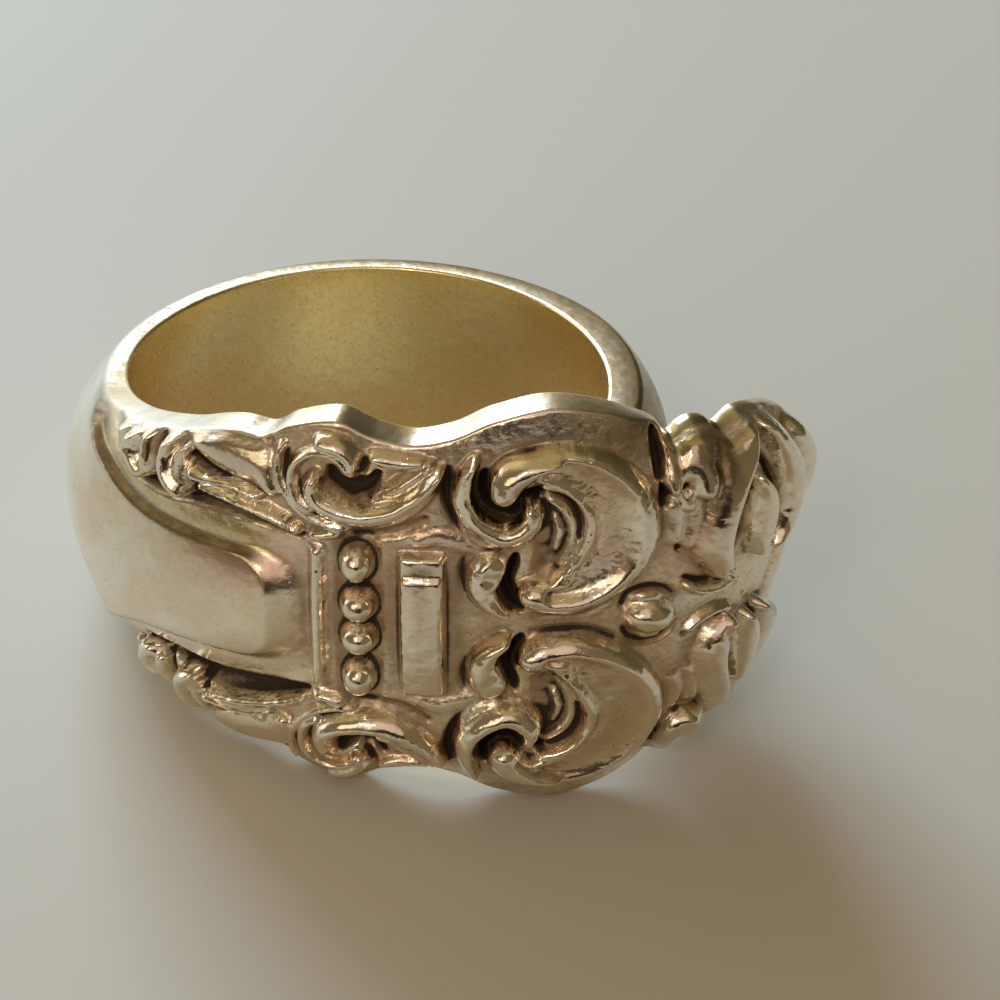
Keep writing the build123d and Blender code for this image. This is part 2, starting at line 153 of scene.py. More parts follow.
# cast ornament of the upper half, mirrored below. Each shape follows a run of
# points: mm along, mm across, half width. lean moves its crest to the left of
# the run (or right, below 0), a low power makes its round full, and a shape
# that is oneSided isn't mirrored
ornament = {
    "sunk": {
        "ribGap": {"high": 0.45, "run": [
            (21.75, 5.7, 0.1), (21.74, 5.0, 0.2), (21.68, 4.3, 0.2), (21.5, 3.75, 0.2)
        ]},
        "ribGapLeft": {"high": 0.25, "run": [
            (20.05, 5.1, 0.08), (20.0, 4.5, 0.14), (20.15, 3.85, 0.14)
        ]},
        "leafGap": {"run": [(23.12, 4.55, 0.08), (23.12, 4.2, 0.12), (23.2, 3.8, 0.15)], "high": 0.3},
        "leafHole": {"high": 0.5, "run": [
            (23.1, 5.28, 0.15), (23.6, 5.22, 0.22), (24.1, 5.1, 0.17), (24.5, 4.95, 0.08)
        ]},
        "leafShade": {"high": 0.5, "run": [
            (20.6, 3.45, 0.15), (21.9, 3.45, 0.25), (23.3, 3.75, 0.42), (24.8, 3.68, 0.4), (26.0, 3.42, 0.28),
            (26.9, 3.2, 0.12)
        ]},
        "leafNotch": {"high": 0.22, "run": [
            (25.75, 7.2, 0.1), (25.85, 6.4, 0.12), (25.95, 5.6, 0.12), (26.1, 4.8, 0.1)
        ]},
        "ringGap": {"high": 0.22, "run": [
            (26.45, 6.4, 0.06), (26.38, 5.7, 0.1), (26.52, 5.0, 0.12), (26.9, 4.45, 0.1)
        ]},
        "scrollEye": {"high": 0.52, "run": [
            (27.85, 5.9, 0.14), (28.05, 5.45, 0.28), (28.6, 5.2, 0.34), (29.1, 5.45, 0.26), (29.35, 5.85, 0.12)
        ]},
        "lobeGap": {"run": [(28.95, 6.35, 0.1), (28.85, 6.0, 0.2), (28.7, 5.6, 0.2)], "high": 0.3},
        "lowHollow": {"high": 0.2, "run": [
            (28.6, 3.42, 0.12), (29.4, 3.5, 0.22), (30.2, 3.75, 0.25), (30.9, 4.2, 0.15)
        ]},
        "scallopGap": {"high": 0.42, "run": [
            (31.6, 6.15, 0.1), (31.55, 5.5, 0.2), (31.62, 4.8, 0.18), (31.9, 4.1, 0.12), (32.3, 3.6, 0.1)
        ]},
        "hookGap": {"high": 0.95, "run": [
            (32.8, 6.05, 0.08), (32.76, 5.6, 0.18), (32.88, 5.12, 0.26), (33.25, 4.75, 0.32),
            (33.75, 4.68, 0.34), (34.15, 5.0, 0.3), (34.6, 5.3, 0.16)
        ]},
        "shellDish": {"high": 0.3, "power": 1.0, "run": [
            (34.75, 4.7, 0.45), (35.0, 4.0, 0.75), (35.0, 3.2, 0.8), (34.75, 2.5, 0.55)
        ]},
        "budGap": {"high": 0.8, "run": [
            (33.8, 2.75, 0.08), (33.72, 2.4, 0.18), (33.52, 1.95, 0.22), (33.5, 1.5, 0.24), (33.68, 1.02, 0.2),
            (34.0, 0.6, 0.1)
        ]},
        "budShade": {"run": [(32.12, 2.7, 0.08), (32.05, 2.1, 0.14), (32.25, 1.4, 0.12)], "high": 0.2},
        "scrollFoot": {"high": 0.16, "run": [
            (34.3, 0.35, 0.08), (35.2, 0.28, 0.12), (36.2, 0.35, 0.12), (37.0, 0.8, 0.1)
        ]},
        "knobGap": {"high": 0.7, "run": [
            (38.5, 7.3, 0.12), (38.5, 6.6, 0.2), (38.52, 5.9, 0.16), (38.5, 5.3, 0.08)
        ]},
        "knobCrack": {"high": 0.95, "oneSided": True, "run": [
            (38.62, 5.1, 0.08), (38.72, 4.95, 0.18), (38.62, 4.6, 0.13), (38.55, 4.3, 0.05)
        ]},
        "knobCrackSmall": {"high": 0.7, "oneSided": True, "run": [
            (39.2, 5.05, 0.07), (39.3, 4.85, 0.1), (39.15, 4.5, 0.06)
        ]},
        "lowCrack": {"high": 0.6, "oneSided": True, "run": [
            (39.1, 3.4, 0.06), (39.02, 2.9, 0.09), (38.95, 2.45, 0.05)
        ]},
        "tipGap": {"high": 0.3, "run": [
            (40.5, 7.3, 0.08), (40.55, 6.6, 0.1), (40.5, 5.9, 0.1), (40.35, 5.3, 0.06)
        ]},
        "tipHollow": {"high": 0.75, "run": [
            (41.95, 5.7, 0.15), (41.58, 5.1, 0.28), (41.25, 4.2, 0.34), (41.0, 3.2, 0.34), (40.88, 2.3, 0.28),
            (40.5, 1.45, 0.16)
        ]},
        "tipHollowBack": {"high": 0.45, "run": [
            (42.15, 5.1, 0.12), (42.45, 4.3, 0.18), (42.55, 3.3, 0.18), (42.3, 2.4, 0.12)
        ]},
        "beadShade": {"high": 0.3, "run": [
            (37.25, 0.5, 0.1), (37.45, 0.92, 0.14), (37.95, 1.12, 0.16), (38.5, 0.98, 0.12), (38.85, 0.6, 0.06)
        ]},
        "curlShade": {"high": 0.3, "run": [
            (39.15, 1.25, 0.08), (39.5, 0.98, 0.14), (39.95, 0.86, 0.1)
        ]},
        "beadTrough": {"run": [(28.68, 0.0, 0.85), (28.68, 3.0, 0.75)], "high": 0.22},
    },
    "raised": {
        "firstRib": {"high": 0.36, "run": [
            (20.3, 5.35, 0.12), (19.75, 4.85, 0.28), (19.7, 4.4, 0.28), (19.95, 4.05, 0.18)
        ]},
        "secondRib": {"high": 0.66, "run": [
            (21.35, 5.95, 0.12), (20.75, 5.3, 0.3), (20.45, 4.7, 0.36), (20.5, 4.15, 0.42), (20.9, 3.8, 0.34)
        ]},
        "secondRibFold": {"high": 0.42, "run": [
            (21.3, 5.5, 0.15), (21.15, 4.95, 0.32), (21.18, 4.4, 0.34), (21.3, 4.0, 0.22)
        ]},
        "thirdRib": {"high": 0.72, "run": [
            (22.75, 6.4, 0.14), (22.35, 5.7, 0.28), (22.2, 5.05, 0.3), (22.3, 4.45, 0.38), (22.62, 3.98, 0.36),
            (22.85, 3.8, 0.2)
        ]},
        "thirdRibFold": {"high": 0.45, "run": [
            (22.95, 5.6, 0.12), (22.72, 5.05, 0.26), (22.72, 4.5, 0.3), (22.9, 4.15, 0.2)
        ]},
        "leafEdge": {"high": 0.55, "run": [
            (23.28, 4.75, 0.32), (23.65, 4.72, 0.22), (24.3, 4.78, 0.15), (25.0, 4.7, 0.13), (25.6, 4.5, 0.1)
        ]},
        "leafEdgeTwin": {"high": 0.6, "run": [
            (23.6, 4.42, 0.12), (24.5, 4.3, 0.17), (25.4, 4.07, 0.17), (26.2, 3.77, 0.15), (26.9, 3.47, 0.12)
        ]},
        "leafFold": {"run": [(24.9, 4.42, 0.08), (25.7, 4.15, 0.1), (26.5, 3.85, 0.1)], "high": 0.42},
        "leafBody": {"high": 0.4, "power": 0.8, "run": [
            (23.45, 6.0, 0.5), (24.2, 5.95, 0.85), (25.0, 5.85, 0.95), (25.5, 5.6, 0.7), (26.0, 4.9, 0.35)
        ]},
        "outerRim": {"high": 0.42, "run": [
            (26.28, 6.6, 0.1), (26.2, 5.9, 0.13), (26.32, 5.2, 0.14), (26.65, 4.55, 0.15), (27.1, 4.1, 0.16),
            (27.75, 3.83, 0.15), (28.4, 3.75, 0.1)
        ]},
        "smallRim": {"high": 0.52, "run": [
            (28.4, 6.0, 0.15), (28.2, 6.35, 0.16), (27.85, 6.56, 0.16), (27.4, 6.57, 0.16), (26.95, 6.3, 0.16),
            (26.68, 5.85, 0.16), (26.64, 5.3, 0.16), (26.85, 4.75, 0.16), (27.25, 4.35, 0.14)
        ]},
        "smallScroll": {"high": 0.74, "lean": 0.35, "run": [
            (27.42, 5.65, 0.24), (27.32, 5.2, 0.34), (27.55, 4.72, 0.4), (28.15, 4.4, 0.44), (28.95, 4.3, 0.48),
            (29.75, 4.5, 0.54), (30.45, 5.0, 0.52), (31.0, 5.6, 0.38), (31.35, 6.1, 0.2)
        ]},
        "scrollTerrace": {"high": 0.5, "power": 0.8, "run": [
            (29.3, 4.95, 0.25), (30.0, 5.25, 0.45), (30.7, 5.85, 0.4), (31.05, 6.3, 0.2)
        ]},
        "smallLobe": {"high": 0.6, "run": [
            (27.6, 6.95, 0.3), (28.1, 6.85, 0.36), (28.5, 6.5, 0.28), (28.58, 6.05, 0.14)
        ]},
        "smallLobeBack": {"high": 0.42, "power": 0.8, "run": [
            (29.25, 6.5, 0.25), (29.75, 6.4, 0.36), (30.3, 6.35, 0.3), (30.8, 6.4, 0.15)
        ]},
        "lowRidge": {"run": [(27.35, 3.35, 0.25), (28.0, 3.5, 0.2)], "high": 0.4},
        "middleFold": {"high": 0.14, "power": 1.0, "run": [
            (30.6, 3.3, 0.25), (31.3, 3.5, 0.4), (31.9, 3.3, 0.4), (32.6, 3.05, 0.25)
        ]},
        "crescentFoot": {"high": 0.3, "run": [
            (31.95, 4.5, 0.1), (32.15, 3.95, 0.16), (32.6, 3.45, 0.16), (33.2, 3.2, 0.1)
        ]},
        "crescent": {"high": 0.82, "lean": 0.25, "run": [
            (32.5, 6.6, 0.14), (32.2, 5.95, 0.32), (32.1, 5.2, 0.42), (32.35, 4.5, 0.46), (32.85, 3.98, 0.47),
            (33.45, 3.7, 0.5), (34.02, 3.9, 0.52), (34.32, 4.4, 0.42), (34.22, 4.85, 0.26)
        ]},
        "scrollBody": {"high": 0.82, "power": 0.5, "run": [
            (34.2, 6.35, 0.5), (35.1, 6.3, 0.74), (36.05, 6.0, 0.88), (36.85, 5.3, 1.0), (37.3, 4.4, 1.08),
            (37.35, 3.5, 1.08), (37.1, 2.6, 1.0), (36.5, 1.75, 0.92), (35.6, 1.22, 0.78), (34.8, 1.18, 0.66),
            (34.35, 1.32, 0.55)
        ]},
        "shellRidge": {"high": 0.5, "run": [
            (34.7, 5.62, 0.16), (35.3, 5.5, 0.22), (35.8, 5.1, 0.24), (36.1, 4.5, 0.24), (36.2, 3.9, 0.24),
            (36.1, 3.3, 0.24), (35.85, 2.7, 0.22), (35.5, 2.2, 0.2), (35.1, 1.85, 0.15)
        ]},
        "shellRib": {"high": 0.13, "run": [
            (34.9, 4.95, 0.12), (35.4, 4.5, 0.16), (35.7, 3.8, 0.18), (35.6, 3.05, 0.17), (35.3, 2.45, 0.14)
        ]},
        "shellRibInner": {"high": 0.05, "run": [
            (35.1, 4.2, 0.1), (35.25, 3.6, 0.14), (35.1, 3.0, 0.12)
        ]},
        "bud": {"high": 0.74, "power": 0.5, "run": [
            (32.98, 2.45, 0.56), (32.8, 2.05, 0.62), (32.74, 1.55, 0.54), (32.98, 1.02, 0.4),
            (33.45, 0.62, 0.24)
        ]},
        "edgeKnob": {"high": 0.72, "power": 0.5, "run": [
            (39.45, 7.5, 0.7), (39.6, 6.9, 1.0), (39.65, 6.3, 1.0), (39.6, 5.8, 0.85)
        ]},
        "lowKnob": {"high": 0.95, "power": 0.5, "oneSided": True, "run": [
            (39.2, -7.1, 0.6), (39.35, -6.4, 0.86), (39.4, -5.75, 0.8), (39.4, -5.35, 0.5)
        ]},
        "knobLumpLeft": {"high": 0.6, "oneSided": True, "run": [
            (38.95, 5.7, 0.3), (38.95, 5.3, 0.36), (38.9, 4.95, 0.26)
        ]},
        "knobLump": {"high": 0.78, "oneSided": True, "run": [
            (39.75, 5.7, 0.5), (39.85, 5.2, 0.6), (39.8, 4.8, 0.42)
        ]},
        "knobPebble": {"run": [(39.25, 4.6, 0.3), (39.3, 4.25, 0.3)], "high": 0.4, "oneSided": True},
        "knobStem": {"high": 0.22, "power": 1.0, "run": [
            (38.9, 4.3, 0.3), (38.95, 3.7, 0.36), (38.8, 3.0, 0.32)
        ]},
        "knobStemRight": {"high": 0.28, "power": 1.0, "run": [
            (39.6, 4.3, 0.32), (39.5, 3.5, 0.34), (39.25, 2.7, 0.28)
        ]},
        "tipLobe": {"high": 0.92, "lean": 0.55, "run": [
            (41.55, 7.4, 0.6), (41.35, 6.6, 0.82), (41.0, 5.7, 0.74), (40.6, 4.8, 0.62), (40.25, 3.9, 0.52),
            (40.0, 3.0, 0.54), (39.95, 2.2, 0.54), (40.2, 1.5, 0.46), (40.55, 1.05, 0.3)
        ]},
        "tipLeaf": {"high": 0.8, "lean": 0.2, "run": [
            (41.62, 4.7, 0.16), (41.88, 3.9, 0.44), (41.9, 3.0, 0.54), (41.75, 2.2, 0.48), (41.6, 1.55, 0.22)
        ]},
        "tipBack": {"high": 0.92, "run": [
            (42.5, 6.3, 0.4), (43.0, 5.3, 0.5), (43.3, 4.2, 0.55), (43.2, 3.0, 0.52), (42.85, 2.1, 0.4),
            (42.3, 1.5, 0.2)
        ]},
        "tipCurl": {"high": 0.42, "run": [
            (39.2, 0.95, 0.12), (39.6, 0.62, 0.17), (40.15, 0.48, 0.2), (40.7, 0.62, 0.17)
        ]},
        "endLobe": {"high": 0.8, "run": [
            (44.3, 5.0, 0.5), (44.9, 4.0, 0.7), (45.5, 2.85, 0.8), (45.8, 1.6, 0.6)
        ]},
        "beadCrumb": {"run": [(37.85, 0.8, 0.18), (38.2, 0.78, 0.18)], "high": 0.22},
    },
    # cut last, into whatever stands there
    "cut": {
        "scrollChannel": {"high": 0.5, "power": 1.0, "run": [
            (34.55, 6.28, 0.3), (35.3, 6.2, 0.52), (36.05, 5.82, 0.66), (36.72, 5.15, 0.76), (37.1, 4.3, 0.8),
            (37.12, 3.4, 0.8), (36.82, 2.55, 0.74), (36.3, 1.9, 0.6), (35.6, 1.45, 0.36), (34.9, 1.4, 0.22)
        ]},
        "channelStep": {"high": 0.14, "run": [
            (36.0, 5.0, 0.05), (36.42, 4.4, 0.08), (36.5, 3.7, 0.08), (36.35, 3.0, 0.08), (35.95, 2.3, 0.05)
        ]},
        "shellGroove": {"high": 0.28, "run": [
            (34.6, 5.3, 0.08), (35.25, 5.12, 0.12), (35.72, 4.65, 0.12), (35.9, 4.0, 0.1), (35.85, 3.4, 0.07)
        ]},
        "commaLineOne": {"high": 0.16, "run": [
            (28.9, 4.72, 0.07), (29.8, 4.92, 0.1), (30.55, 5.4, 0.1), (31.0, 5.85, 0.06)
        ]},
        "commaLineTwo": {"high": 0.14, "run": [
            (29.2, 5.08, 0.07), (30.0, 5.3, 0.1), (30.65, 5.8, 0.1), (30.95, 6.15, 0.06)
        ]},
        "ribMark": {"run": [(20.95, 4.75, 0.06), (20.9, 4.45, 0.09), (21.0, 4.2, 0.08)], "high": 0.2},
        "crescentLine": {"high": 0.1, "run": [
            (32.5, 5.9, 0.06), (32.5, 5.2, 0.08), (32.78, 4.6, 0.08), (33.2, 4.25, 0.06)
        ]},
        "budFacet": {"run": [(33.15, 2.55, 0.28), (33.0, 2.2, 0.3)], "high": 0.14, "power": 0.4},
        "fanOne": {"run": [(35.1, 2.3, 0.05), (35.5, 1.9, 0.08), (35.8, 1.75, 0.05)], "high": 0.12},
        "fanTwo": {"run": [(35.5, 2.45, 0.05), (35.85, 2.1, 0.08), (36.1, 1.95, 0.05)], "high": 0.12},
        "fanThree": {"run": [(34.4, 3.6, 0.05), (35.0, 3.9, 0.09), (35.4, 4.5, 0.05)], "high": 0.08},
        "fanFour": {"run": [(34.4, 3.0, 0.05), (35.0, 3.1, 0.09), (35.5, 3.5, 0.05)], "high": 0.08},
        "tipCut": {"run": [(40.35, 1.75, 0.05), (40.3, 1.4, 0.12), (40.4, 1.15, 0.05)], "high": 0.4},
    },
}

# the hook stands over the rest: it lies on the start of the large scroll
hook = {"high": 1.0, "power": 0.45, "run": [
    (35.2, 6.62, 0.12), (34.5, 6.5, 0.36), (33.9, 6.22, 0.56), (33.52, 5.85, 0.6), (33.4, 5.5, 0.54)
]}

# how the shapes lie: mm over which two of them melt together, how deep they sink,
# the usual power of a round, points to a span of a short run and of a long one
# (over longRun points), and mm from the rim over which the relief fades out
carving = {
    "melt": 0.05, "deepest": 0.9, "power": 0.65,
    "shortSpan": 6, "longSpan": 4, "longRun": 6, "rimFade": 0.4,
}

# round beads: mm along, across, radii, height
beads = {
    "innerBead": (28.68, 0.68, 0.62, 0.66, 0.86),
    "outerBead": (28.65, 2.36, 0.56, 0.74, 0.86),
    "centreBead": (38.05, 0.0, 0.74, 0.66, 0.72),
    "tipBead": (46.6, 0.0, 0.8, 0.85, 0.45),
}

# flat-topped bars: mm along, half length, half height, height, flank. Their tops
# are a little round along and across
bars = {
    "crossBar": (27.38, 0.2, 2.85, 0.5, 0.22),
    "wideBar": (30.77, 0.72, 2.82, 0.78, 0.2),
}
barRound = {"along": 0.05, "across": 0.2}
# the wide bar steps down near its upper end
barStep = {"across": 2.05, "deep": 0.15, "flank": 0.16, "inset": 0.3}

# plain panel: half width at places along, where it ends, its corner's radius, how far
# its top falls to the sides, the steep step beside it and the border that slopes
# down beyond, to the gutter's end. It grows out of the band over fadeIn
panel = {
    "half": [
        (16.5, 4.4), (17.5, 4.1), (18.5, 3.6), (20.0, 2.85),
        (21.0, 2.48), (22.0, 2.3), (24.0, 2.15), (26.5, 2.05),
    ],
    "end": 25.85, "corner": 1.2, "round": 0.4, "melt": 0.08,
    "step": 0.19, "foot": 0.02,
    "border": 1.25, "endBorder": 1.15, "gutter": 0.2, "gutterEnd": 1.85,
    "fadeIn": (16.0, 20.0), "ribsFrom": (19.2, 19.7),
}

# tarnish that follows the photograph, partly painted light: pink and gold-coloured reflection, bright
# highlight and dark shade. mm along, mm across (below 0 on the lower half), reach along and across, strength
stainsAndPaintedLight = {
    # rosy spots: partly tarnish, partly a painted pink reflection
    "rosy": [
        (33.4, 3.3, 1.6, 0.6, 0.5), (30.3, 3.4, 2.0, 0.5, 0.6), (31.8, 1.6, 0.5, 1.4, 0.5),
        (28.7, 3.2, 1.0, 0.5, 0.5), (24.7, 1.45, 1.5, 0.55, 0.9), (26.3, 2.2, 0.9, 0.9, 0.7),
        (21.3, 4.5, 0.4, 0.7, 0.6), (22.8, 4.7, 0.35, 0.7, 0.6), (24.7, 5.5, 0.9, 0.6, 0.6),
        (27.3, 5.2, 0.35, 0.6, 0.8), (27.6, 6.9, 0.8, 0.35, 0.6), (31.8, 6.8, 1.6, 0.5, 0.9),
        (33.5, 5.9, 0.8, 0.6, 1.0), (35.9, 4.7, 0.5, 0.8, 1.0), (36.9, 2.6, 0.8, 1.0, 0.9),
        (34.7, 3.0, 0.7, 0.7, 0.6), (33.0, 2.1, 0.5, 0.5, 0.8), (30.8, 1.2, 0.8, 0.7, 0.8),
        (27.3, 1.4, 0.3, 1.6, 0.7), (28.6, 1.2, 0.7, 0.4, 0.7), (39.9, 3.6, 0.5, 0.9, 1.0),
        (39.1, 2.3, 1.3, 1.0, 0.5), (31.9, 3.4, 1.3, 0.8, 0.6), (38.0, 0.0, 0.7, 0.6, 0.5),
        (30.6, -0.1, 0.9, 0.5, 0.3), (35.3, -1.3, 1.4, 0.4, 0.7), (37.8, -2.6, 0.5, 1.2, 0.6),
        (39.6, -2.4, 0.8, 0.8, 0.6), (29.4, -6.4, 1.6, 0.5, 0.5), (35.0, -6.3, 1.5, 0.4, 0.8),
        (32.6, -1.5, 0.7, 0.8, 0.4), (27.4, -2.2, 0.3, 1.0, 0.6),
    ],
    # gold-coloured spots: partly tarnish, partly a painted reflection of the warm light above, as on the knob's
    # top
    "goldenTarnishAndReflection": [
        (39.5, 6.8, 0.9, 1.0, 0.9), (41.0, 5.8, 0.5, 1.0, 0.7), (33.0, 0.2, 0.7, 0.6, 0.4),
        (37.0, -4.6, 1.4, 1.8, 0.7), (36.2, 5.2, 0.9, 0.8, 0.4), (35.3, 5.6, 0.9, 0.4, 0.8),
        (37.2, 6.2, 0.8, 0.5, 0.8), (38.1, 4.6, 0.35, 1.4, 0.8), (37.3, -0.9, 0.9, 0.4, 0.8),
        (38.4, -2.6, 0.4, 1.6, 0.7), (34.4, 7.1, 1.6, 0.3, 0.6), (23.4, 5.9, 0.6, 0.5, 0.5),
        (41.4, 6.6, 0.5, 0.8, 0.6), (30.2, 5.2, 0.7, 0.4, 0.5), (39.5, -4.2, 0.8, 0.8, 0.5),
        (24.0, -5.4, 2.0, 0.8, 0.5), (29.8, -6.9, 1.5, 0.4, 0.5),
    ],
    # bright silver: partly worn, partly a painted highlight on the band's left, the ribs' left edges and the
    # rims
    "bareAndHighlight": [
        (13.6, 2.6, 2.2, 2.6, 0.9), (12.0, -2.5, 3.0, 2.0, 0.6), (11.5, 0.5, 4.5, 5.0, 0.9),
        (11.0, 3.9, 4.5, 0.9, 0.9), (20.6, 4.6, 0.35, 1.3, 1.0), (22.3, 4.6, 0.35, 1.3, 1.0),
        (24.0, 4.6, 1.3, 0.3, 1.0), (21.0, 6.3, 3.0, 0.8, 1.0), (31.6, 7.4, 2.6, 0.5, 1.0),
        (36.6, 2.0, 0.5, 0.5, 0.6), (32.6, 4.6, 0.5, 1.0, 0.6), (33.6, 3.6, 0.9, 0.4, 0.8),
        (28.4, 4.1, 1.2, 0.4, 0.8), (30.8, -1.3, 0.8, 1.0, 0.6), (42.8, 5.0, 0.7, 1.8, 1.0),
        (42.0, 3.0, 0.4, 1.2, 0.5), (-11.5, 3.8, 3.6, 0.6, 1.0), (35.6, 1.0, 1.6, 0.35, 0.8),
        (37.9, 3.5, 0.3, 2.2, 0.8), (28.6, 2.2, 0.4, 0.5, 0.5), (20.0, -1.0, 4.0, 2.0, 0.4),
    ],
    # dark spots: partly tarnish, partly painted shade on the panel's step, under the leaf, on the back rim, the
    # knob and the tip
    "shadeAndTarnish": [
        (30.77, 2.3, 0.55, 0.3, 0.6), (-1.0, 3.85, 9.0, 0.6, 0.95), (-14.5, 1.8, 6.5, 3.0, 0.85),
        (17.4, 4.15, 1.4, 0.35, 1.0), (39.6, 6.5, 0.9, 0.9, 0.55), (37.6, 7.0, 1.1, 0.8, 0.6),
        (35.6, 7.3, 1.4, 0.4, 0.35), (39.6, 7.1, 0.9, 0.6, 0.7), (40.8, 6.9, 0.8, 1.2, 0.95),
        (40.4, 5.6, 0.5, 1.0, 0.95), (40.0, 4.4, 0.3, 1.0, 0.7), (43.5, 7.0, 1.0, 1.0, 0.4),
        (29.3, 7.4, 1.3, 0.4, 0.5), (24.6, 6.5, 1.2, 0.7, 0.4), (25.0, 2.0, 0.9, 0.3, 0.4),
        (24.4, 3.62, 2.6, 0.3, 1.0), (26.0, 5.6, 0.3, 1.0, 0.3), (29.7, 2.2, 0.3, 1.3, 0.3),
        (33.6, -7.6, 1.6, 0.5, 0.35), (36.4, -3.9, 1.2, 2.0, 0.2), (31.0, 6.4, 0.6, 0.4, 0.3),
        (38.6, 4.6, 0.5, 0.7, 0.35), (36.0, 5.9, 0.9, 0.3, 0.3), (35.4, 2.9, 0.5, 0.5, 0.25),
        (31.9, 0.8, 0.22, 2.4, 0.35), (38.3, -5.6, 0.7, 1.0, 0.4), (29.9, 0.0, 0.22, 2.6, 0.3),
    ],
}


def splineThrough(points, perSpan):  # smooth run through a shape's few points
    points = np.array(points, float)
    padded = np.vstack([2 * points[0] - points[1], points, 2 * points[-1] - points[-2]])
    spans = []
    for i in range(len(points) - 1):
        a, b, c, d = padded[i : i + 4]
        t = np.linspace(0, 1, perSpan, endpoint=False)[:, None]
        spans.append(b + 0.5 * t * (c - a + t * (2 * a - 5 * b + 4 * c - d + t * (3 * (b - c) + d - a))))
    return np.vstack(spans + [points[-1:]])


def shapeRise(shape, along, across):  # 1 on the crest, 0 at the foot
    isLong = len(shape["run"]) > carving["longRun"]
    run = splineThrough(shape["run"], carving["longSpan"] if isLong else carving["shortSpan"])
    near, side, share = np.ones(along.shape), np.ones(along.shape), np.zeros(along.shape)
    count = len(run) - 1
    for i, (start, stop) in enumerate(zip(run, run[1:])):
        way = (stop - start)[:2]
        t = ((along - start[0]) * way[0] + (across - start[1]) * way[1]) / (way @ way)
        t = np.clip(t, 0, 1)
        dx, dz = along - start[0] - t * way[0], across - start[1] - t * way[1]
        gap = np.hypot(dx, dz) / (start[2] + t * (stop[2] - start[2]))
        closer = gap < near
        near = np.where(closer, gap, near)
        side = np.where(closer, np.where(way[0] * dz > way[1] * dx, 1, -1), side)
        share = np.where(closer, (i + t) / count, share)
    # the crest leans only away from the run's two ends
    lean = shape.get("lean", 0) * ease(4 * np.minimum(share, 1 - share))
    offset = near * side - lean
    near = np.abs(offset) / np.where(offset > 0, 1 - lean, 1 + lean)
    return np.clip(1 - near**2, 0, 1) ** shape.get("power", carving["power"])


def softMax(a, b, reach):
    blend = np.clip(0.5 + 0.5 * (a - b) / reach, 0, 1)
    return b + (a - b) * blend + reach * blend * (1 - blend)


def dome(share, low, high, power):
    return low + (high - low) * (1 - np.minimum(1, np.abs(share)) ** power)


def sink(part, under):
    return under - part * np.clip(1 + under / carving["deepest"], 0, 1)


def lift(part, under):
    return np.where(part > 0.001, softMax(part, under, carving["melt"]), under)


def cut(part, under):
    return under - part


def relief(along, across):  # mm over the ground
    upper = np.abs(across)
    rise = np.zeros_like(along)

    def lay(shape, how):
        xs, widths = [p[0] for p in shape["run"]], [p[2] for p in shape["run"]]
        rows = (along[:, 0] > min(xs) - max(widths)) & (along[:, 0] < max(xs) + max(widths))
        height = across if "oneSided" in shape else upper
        rise[rows] = how(shape["high"] * shapeRise(shape, along[rows], height[rows]), rise[rows])

    for group, how in (("sunk", sink), ("raised", lift), ("cut", cut)):
        for shape in ornament[group].values():
            lay(shape, how)
    lay(hook, lift)
    for x, z, radiusAlong, radiusAcross, high in beads.values():
        gap = ((along - x) / radiusAlong) ** 2 + ((upper - z) / radiusAcross) ** 2
        rise = np.where(gap < 1, np.maximum(rise, high * np.sqrt(np.clip(1 - gap, 0, 1))), rise)
    for bar, (x, halfLength, halfHeight, high, flank) in bars.items():
        edge = np.minimum((halfLength - np.abs(along - x)) / flank, (halfHeight - upper) / flank)
        top = high - barRound["along"] * ((along - x) / halfLength) ** 2
        top = top - barRound["across"] * (across / halfHeight) ** 2
        rise = np.where(edge > -0.5, np.maximum(rise, top * ease(0.5 + edge)), rise)
        if bar == "wideBar":
            stepped = ease(0.5 + (across - barStep["across"]) / barStep["flank"])
            rise = np.where(edge > barStep["inset"], rise - barStep["deep"] * stepped, rise)
    return rise


def boxBlur(field, size):
    for axis in (0, 1):
        pad = [(0, 0), (0, 0)]
        pad[axis] = (size + 1, size)
        total = np.cumsum(np.pad(field, pad, "edge"), axis)
        high = np.take(total, range(2 * size + 1, total.shape[axis]), axis)
        low = np.take(total, range(0, total.shape[axis] - 2 * size - 1), axis)
        field = (high - low) / (2 * size + 1)
    return field


def blur(field, size):  # three box passes come near a Gaussian
    return boxBlur(boxBlur(boxBlur(field, size), size), size)


def finer(field):  # a value halfway between each two, along and across
    for axis in (0, 1):
        last = field.shape[axis] - 1
        halfway = (np.take(field, range(1, last + 1), axis) + np.take(field, range(last), axis)) / 2
        field = np.take(np.repeat(field, 2, axis), range(2 * last + 1), axis)
        between = [slice(None)] * 2
        between[axis] = slice(1, None, 2)
        field[tuple(between)] = halfway
    return field


def smoothRelief(along, across):  # worked out between the rows too, so no flank is stepped
    return boxBlur(boxBlur(relief(finer(along), finer(across)), 1), 1)[::2, ::2]


panelHalf = smoothCurve(panel["half"])


def pastPanel(along, across):  # mm beyond the panel's edge, and how far round to its end
    sideways = np.maximum(0, np.abs(across) - panelHalf(along) + panel["corner"])
    endways = np.maximum(0, along - panel["end"] + panel["corner"])
    beyond = np.hypot(sideways, endways) - panel["corner"]
    return beyond, ease(endways / (sideways + endways + 0.001))


